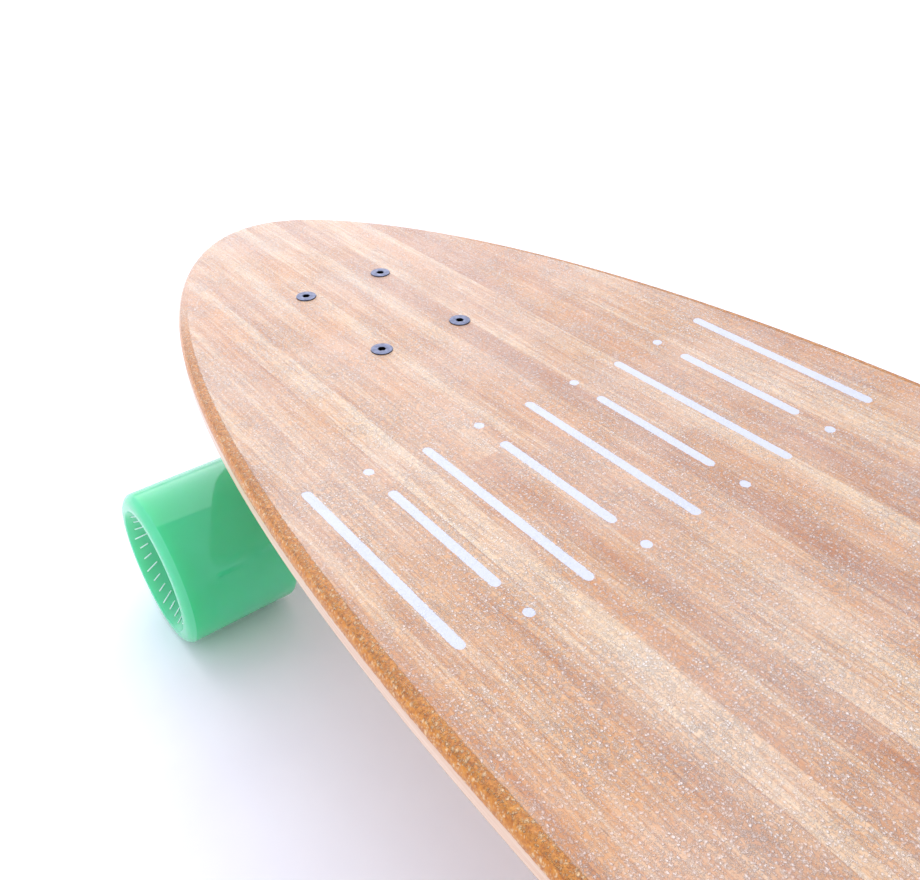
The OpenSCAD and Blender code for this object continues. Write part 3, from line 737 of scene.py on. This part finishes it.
def bolt_hole_cutter():
    """The countersunk holes of both trucks' deck bolts, as one cutter."""
    head, shank, rim, cone_low = 4.66 * MM, 2.55 * MM, 0.9 * MM, 3.0 * MM
    above, through = 2 * MM, -2 * DECK_THICKNESS
    profile = [(0, above), (head, above), (head, -rim), (shank, -cone_low), (shank, through), (0, through)]
    one = turned("hole_cutter", profile, 48)
    turn = Matrix.Rotation(math.pi / 2, 4, "X")
    holes = []
    for end in ENDS:
        for along, across in ((-1, -1), (-1, 1), (1, -1), (1, 1)):
            spot = Vector((BOLTS_X[end] + along * BOLT_SPACING.x / 2, across * BOLT_SPACING.y / 2, DECK_TOP))
            holes.append(own_copy(one, "hole", Matrix.Translation(spot) @ turn))
    remove(one)
    return joined(holes, "hole_cutter")


def joined(pieces, name):
    """Several objects made one."""
    clear_selection()
    for piece in pieces:
        piece.select_set(True)
    bpy.context.view_layer.objects.active = pieces[0]
    if len(pieces) > 1:
        bpy.ops.object.join()
    pieces[0].name = pieces[0].data.name = name
    return pieces[0]


# ---------------------------------------------------------------- the wheel's own shape

TYRE_STEPS = 160
HUB_RIBS = 18
# The recess ticks: their lengths in turn round the ring, lean across the wall, and distance from its lip
TICK_LENGTHS = (6.6 * MM, 4.4 * MM, 4.4 * MM)
TICK_WIDTH = 0.62 * MM
TICK_HEIGHT = 0.5 * MM
TICK_LEAN = math.radians(24)
TICK_PLACE = 4.4 * MM
TICK_SUNK = 0.12 * MM


def recess_wall():
    """The two ends of the recess's sloping wall, as (radius, place along the axle)."""
    foot = (CORE_RADIUS + 4.1 * MM, CORE_SEAT[1] + 1.2 * MM)
    head = (WHEEL_RADIUS - settings("wheel").rim_width - 1.2 * MM, WHEEL_WIDTH / 2 - 0.9 * MM)
    return foot, head


def wheel_profile():
    """The tyre's section as (radius, place) in metres, the street side at +; the core fills its bore."""
    wheel = settings("wheel")
    lip = wheel.lip_round / MM
    outer, half = WHEEL_RADIUS / MM, WHEEL_WIDTH / MM / 2
    bore, seat_in, seat_out = CORE_RADIUS / MM, CORE_SEAT[0] / MM, CORE_SEAT[1] / MM
    foot, head = ((radius / MM, place / MM) for radius, place in recess_wall())
    street = [(bore, seat_out), (bore + 1.6, seat_out), (bore + 2.9, seat_out + 0.3), foot, head]
    street += arc((head[0] + 1.1, half - 0.9), 0.9, 165, 90, 5)
    street += [(outer - 4.3, half - 0.03), (outer - 3.0, half - 0.32), (outer - 1.9, half - 0.9),
               (outer - 1.0, half - 1.75), (outer - 0.12, half - 3.0), (outer, half - 3.3)]
    road = [(outer, -(half - lip - 0.4))]
    road += arc((outer - lip, -(half - lip)), lip, -2, -90, 8)
    road += arc((head[0] + 1.1, -(half - 0.9)), 0.9, -90, -165, 5)
    road += [(bore + 4.1, seat_in - 1.2), (bore + 2.9, seat_in - 0.3), (bore + 1.6, seat_in)]
    road += [(bore, seat_in)]
    return [(radius * MM, place * MM) for radius, place in street + road]


def recess_tick(length, width, height):
    """One thin raised tick, rounded at its edges."""
    clear_selection()
    bpy.ops.mesh.primitive_cube_add(size=1)
    obj = bpy.context.object
    obj.scale = (length, width, height)
    apply_place(obj)
    bevel_edges(obj, height * 0.42, 2)
    return obj


def street_matrix(end, side):
    """Places a wheel modelled with its street side at +Y."""
    matrix = Matrix.Translation(WHEELS[(end, side)])
    return matrix @ Matrix.Rotation(math.pi, 4, "Z") if side == "left" else matrix


# ---------------------------------------------------------------- operators

class SKATEBOARD_OT_deck(bpy.types.Operator):
    """Three layers of bamboo with a rounded edge, a concave and countersunk bolt holes"""
    bl_idname = "skateboard.deck"
    bl_label = "Deck"

    def execute(self, context):
        cutter = bolt_hole_cutter()
        looks = finishes()
        low = DECK_THICKNESS - SHEET
        layers = (("deck_face", 0.0, SHEET, "face_bamboo", "deck_top_sheet"),
                  ("deck_middle", SHEET, low, "core_bamboo", "deck_core"),
                  ("deck_underside", low, DECK_THICKNESS, "bottom_bamboo", "deck_bottom_sheet"))
        for name, top, bottom, slot, node in layers:
            layer = deck_layer(name, top, bottom)
            add_modifier(layer, "BOOLEAN", operation="DIFFERENCE", object=cutter, solver="EXACT")
            finish(layer, looks[slot], "board", slot, node, 40)
        remove(cutter)
        return {"FINISHED"}


class SKATEBOARD_OT_deck_bolts(bpy.types.Operator):
    """Hex-socket bolts through the deck, standing a hair above it, and the lock nuts under the baseplates"""
    bl_idname = "skateboard.deck_bolts"
    bl_label = "Deck bolts"

    def execute(self, context):
        looks = finishes()
        for end in ENDS:
            for node, name, slot, raised, width, steps, angle in (
                    ("_mounting_bolts", "_deck_bolts", "bolt_steel", BOLT_RAISED, 0.28, 3, 25),
                    ("_lock_nuts", "_deck_nuts", "nut_steel", 0, 0.35, 2, 30)):
                piece = from_node(end + node, end + name)
                piece.data.transform(Matrix.Translation((0, 0, raised)))
                bevel_edges(piece, width * MM, steps, angle)
                finish(piece, looks[slot], "board", slot, end + node)
        return {"FINISHED"}


class SKATEBOARD_OT_wheels(bpy.types.Operator):
    """Cast wheels with a rounded lip, a deep recess and a ring of raised ticks, on ribbed nylon cores"""
    bl_idname = "skateboard.wheels"
    bl_label = "Wheels"

    def execute(self, context):
        looks = finishes()
        tyre = turned("tyre", wheel_profile(), TYRE_STEPS)
        # The lip attribute marks the ring round the recess, which the urethane finish paints paler as painted
        # glow
        lip = tyre.data.attributes.new("lip", "FLOAT", "POINT")
        ring_start = WHEEL_WIDTH / 2 - 3.2 * MM
        for vertex in tyre.data.vertices:
            radius = math.hypot(vertex.co.x, vertex.co.z)
            on_painted_glow_ring = abs(vertex.co.y) > ring_start and radius > recess_wall()[1][0] - 1 * MM
            lip.data[vertex.index].value = 1.0 if on_painted_glow_ring else 0.0
        set_material(tyre, looks["wheel_urethane"])
        tyre = joined([tyre] + self.ticks(looks["raised_mark"]), "tyre")
        smooth(tyre, 34)
        core = self.core()
        set_material(core, looks["core_plastic"])
        smooth(core, 35)
        for end, side in WHEELS:
            name = "%s_%s_" % (end, side)
            place = street_matrix(end, side)
            one = own_copy(tyre, name + "tyre", place)
            settle(one, name + "wheel_set", "wheel_urethane", name + "wheel")
            one = own_copy(core, name + "hub_core", place)
            settle(one, name + "wheel_set", "core_plastic", name + "wheel_core")
        remove(tyre)
        remove(core)
        return {"FINISHED"}

    def ticks(self, material):
        """Raised ticks laid on the recess wall, in groups of three lengths."""
        count = settings("wheel").mark_count
        foot, head = (Vector((radius, 0, place)) for radius, place in recess_wall())
        wall = (head - foot).normalized()
        out = Vector((-wall.z, 0, wall.x))
        ticks = []
        for i in range(count):
            tick = recess_tick(TICK_LENGTHS[i % len(TICK_LENGTHS)], TICK_WIDTH, TICK_HEIGHT)
            middle = head - wall * TICK_PLACE + out * TICK_SUNK
            lean = Matrix.Rotation(TICK_LEAN, 3, out)
            along = lean @ wall
            across = out.cross(along)
            frame_of = Matrix((along, across, out)).transposed().to_4x4()
            frame_of.translation = middle
            stand = Matrix.Rotation(-math.pi / 2, 4, "X")
            tick.data.transform(Matrix.Rotation(2 * math.pi * i / count, 4, "Y") @ stand @ frame_of)
            close_mesh(tick, 0.000001)
            set_material(tick, material)
            ticks.append(tick)
        return ticks

    def core(self):
        """The hub with its two bearing seats, and pockets between ribs in both faces."""
        low, high = CORE_SEAT[0] / MM, CORE_SEAT[1] / MM
        seat, wall, pocket_in, pocket_out, rim = 11.0, 8.0, 13.0, 15.9, CORE_RADIUS / MM
        deep, soft = 2.2, 0.3
        half = [(seat, high - 0.3), (seat + 0.3, high), (pocket_in - soft, high), (pocket_in, high - soft),
                (pocket_in, high - deep), (pocket_out, high - deep), (pocket_out, high - soft),
                (pocket_out + soft, high), (rim - 0.05, high), (rim - 0.02, high - 0.2)]
        back = [(radius, low + (high - place)) for radius, place in reversed(half)]
        inner_end, outer_start = BEARING_SEATS[0] / MM, BEARING_SEATS[1] / MM
        bore = [(seat, inner_end), (wall, inner_end), (wall, outer_start), (seat, outer_start)]
        profile = [(radius * MM, place * MM) for radius, place in half + back + bore]
        hub = turned("hub_core", profile, 96)
        ribs = []
        for i in range(HUB_RIBS):
            for place in (high - deep / 2 - 0.3, low + deep / 2 + 0.3):
                clear_selection()
                bpy.ops.mesh.primitive_cube_add(size=1)
                rib = bpy.context.object
                rib.scale = (3.4 * MM, (deep - 0.1) * MM, 1.1 * MM)
                rib.location = ((pocket_in + pocket_out) / 2 * MM, place * MM, 0)
                apply_place(rib)
                bevel_edges(rib, 0.2 * MM, 2)
                rib.data.transform(Matrix.Rotation(2 * math.pi * i / HUB_RIBS, 4, "Y"))
                ribs.append(rib)
        return joined([hub] + ribs, "hub_core")


class SKATEBOARD_OT_bearings(bpy.types.Operator):
    """Ball bearings, spacers, washers, axles and their nuts, each edge slightly broken"""
    bl_idname = "skateboard.bearings"
    bl_label = "Bearings and axles"

    def execute(self, context):
        for end in ENDS:
            hanger = end + "_hanger_set"
            for node, slot, width in (("axle", "axle_steel", 0.6), ("axle_nuts", "nut_steel", 0.5),
                                      ("speed_washers", "nut_steel", 0.15),
                                      ("bearing_inner_rings", "bearing_steel", 0.15),
                                      ("bearing_spacers", "axle_steel", 0.2)):
                self.finished(end + "_" + node, hanger, slot, width)
            for side in SIDES:
                name = "%s_%s_" % (end, side)
                self.finished(name + "bearing_outer_rings", name + "wheel_set", "bearing_steel", 0.2)
                self.finished(name + "bearing_shields", name + "wheel_set", "shield_steel", 0.08)
                for place in frame["nodes"][name + "bearing_balls"].material_slots:
                    place.material = finishes()["bearing_steel"]
        return {"FINISHED"}

    def finished(self, node, body, slot, width):
        piece = from_node(node, node + "_finished")
        bevel_edges(piece, width * MM, 2, 40)
        look = finishes()["spacer_steel" if "spacer" in node else slot]
        finish(piece, look, body, slot, node)


class SKATEBOARD_OT_trucks(bpy.types.Operator):
    """Cast hangers and baseplates with soft cast edges, kingpins, bushings, cups, washers and riser pads"""
    bl_idname = "skateboard.trucks"
    bl_label = "Trucks"

    def execute(self, context):
        looks = finishes()
        for end in ENDS:
            for node, body in (("baseplate", "board"), ("hanger", end + "_hanger_set")):
                name = "%s_%s" % (end, node)
                casting = from_node(name, "%s_cast_%s" % (end, node))
                add_modifier(casting, "REMESH", mode="VOXEL", voxel_size=CASTING_VOXEL)
                add_modifier(casting, "SMOOTH", factor=0.5, iterations=5)
                finish(casting, looks["cast_alloy"], body, "cast_alloy", name, 60)
            for node, slot, width, steps in (("riser_pad", "riser", 0.6, 3),
                                             ("pivot_cup", "cup_plastic", 0.3, 2),
                                             ("kingpin", "kingpin_steel", 0.6, 2),
                                             ("kingpin_nut", "nut_steel", 0.6, 2),
                                             ("bushing_washers", "nut_steel", 0.35, 3),
                                             ("boardside_bushing", "bushing_urethane", 1.6, 4),
                                             ("roadside_bushing", "bushing_urethane", 1.6, 4)):
                name = "%s_%s" % (end, node)
                piece = from_node(name, name + "_finished")
                bevel_edges(piece, width * MM, steps, 40)
                look = looks[end + "_" + slot if node == "kingpin" else slot]
                finish(piece, look, "board", slot, name)
        return {"FINISHED"}


class SKATEBOARD_OT_studio(bpy.types.Operator):
    """Pale floor, one large soft light, and the camera over the board's left side, looking at the nose"""
    bl_idname = "skateboard.studio"
    bl_label = "Studio"

    def execute(self, context):
        self.floor()
        self.lights()
        self.camera()
        return {"FINISHED"}

    def floor(self):
        clear_selection()
        bpy.ops.mesh.primitive_plane_add(size=40)
        floor = bpy.context.object
        floor.name = "studio_floor"
        material, tree, shader = finish_of("matt white paper floor", "FAFAFC", Roughness=0.7)
        paper = add(tree, "TexNoise", in_millimetres(tree), 0.02, 3.0, 0.6)
        dress(tree, shader, add(tree, "ValToRGB", paper, stops=((0.3, "F2F3F7"), (0.7, "F6F7FA"))))
        set_material(floor, material)

    def lights(self):
        scene = bpy.context.scene
        world = bpy.data.worlds.new("studio air")
        scene.world = world
        world.use_nodes = True
        background = next(n for n in world.node_tree.nodes if n.type == "BACKGROUND")
        background.inputs["Color"].default_value = colour("EAEEFF")
        background.inputs["Strength"].default_value = 1.26
        front = BOLTS_X["front"]
        self.soft_light("window_light", place=(front - 1.00, 0.29, 1.12), aim=(front, 0, 0.05),
                        size=(1.7, 2.6), power=20, tint="FAFAFF")
        scene.view_settings.view_transform = "Standard"

    def soft_light(self, name, place, aim, size, power, tint):
        clear_selection()
        bpy.ops.object.light_add(type="AREA", location=place)
        light = bpy.context.object
        light.name = name
        light.rotation_euler = (Vector(aim) - Vector(place)).to_track_quat("-Z", "Y").to_euler()
        light.data.shape = "RECTANGLE"
        light.data.size, light.data.size_y = size
        light.visible_camera = False
        light.data.energy = power
        light.data.color = colour(tint)[:3]

    def camera(self):
        studio = settings("studio")
        clear_selection()
        place = (BOLTS_X["front"] + studio.camera_ahead, -studio.camera_side, DECK_TOP + studio.camera_height)
        bpy.ops.object.camera_add(location=place)
        camera = bpy.context.object
        camera.name = "camera"
        tilt = Matrix.Rotation(math.pi / 2 - studio.elevation, 4, "X")
        turn = Matrix.Rotation(studio.azimuth, 4, "Z") @ tilt @ Matrix.Rotation(studio.roll, 4, "Z")
        camera.matrix_world = Matrix.Translation(place) @ turn
        camera.data.lens = studio.lens
        camera.data.sensor_width = 36
        camera.data.clip_start = 0.01
        bpy.context.scene.camera = camera


class SKATEBOARD_PT_panel(bpy.types.Panel):
    """Every step of the skateboard, in order"""
    bl_idname = "SKATEBOARD_PT_panel"
    bl_label = "Skateboard"
    bl_space_type = "VIEW_3D"
    bl_region_type = "UI"
    bl_category = "Skateboard"

    def draw(self, context):
        for step in STEPS:
            self.layout.operator(step.bl_idname)


STEPS = (SKATEBOARD_OT_deck, SKATEBOARD_OT_deck_bolts, SKATEBOARD_OT_wheels, SKATEBOARD_OT_bearings,
         SKATEBOARD_OT_trucks, SKATEBOARD_OT_studio)
GROUPS = (("deck", DeckSettings), ("wheel", WheelSettings), ("studio", StudioSettings))


def register():
    for name, group in GROUPS:
        bpy.utils.register_class(group)
        setattr(bpy.types.Scene, "skateboard_" + name, bpy.props.PointerProperty(type=group))
    for step in STEPS + (SKATEBOARD_PT_panel,):
        bpy.utils.register_class(step)


def unregister():
    for step in reversed(STEPS + (SKATEBOARD_PT_panel,)):
        bpy.utils.unregister_class(step)
    for name, group in reversed(GROUPS):
        delattr(bpy.types.Scene, "skateboard_" + name)
        bpy.utils.unregister_class(group)


def main():
    register()
    bpy.ops.skateboard.deck()
    bpy.ops.skateboard.deck_bolts()
    bpy.ops.skateboard.wheels()
    bpy.ops.skateboard.bearings()
    bpy.ops.skateboard.trucks()
    bpy.ops.skateboard.studio()


if __name__ == "__main__":
    main()
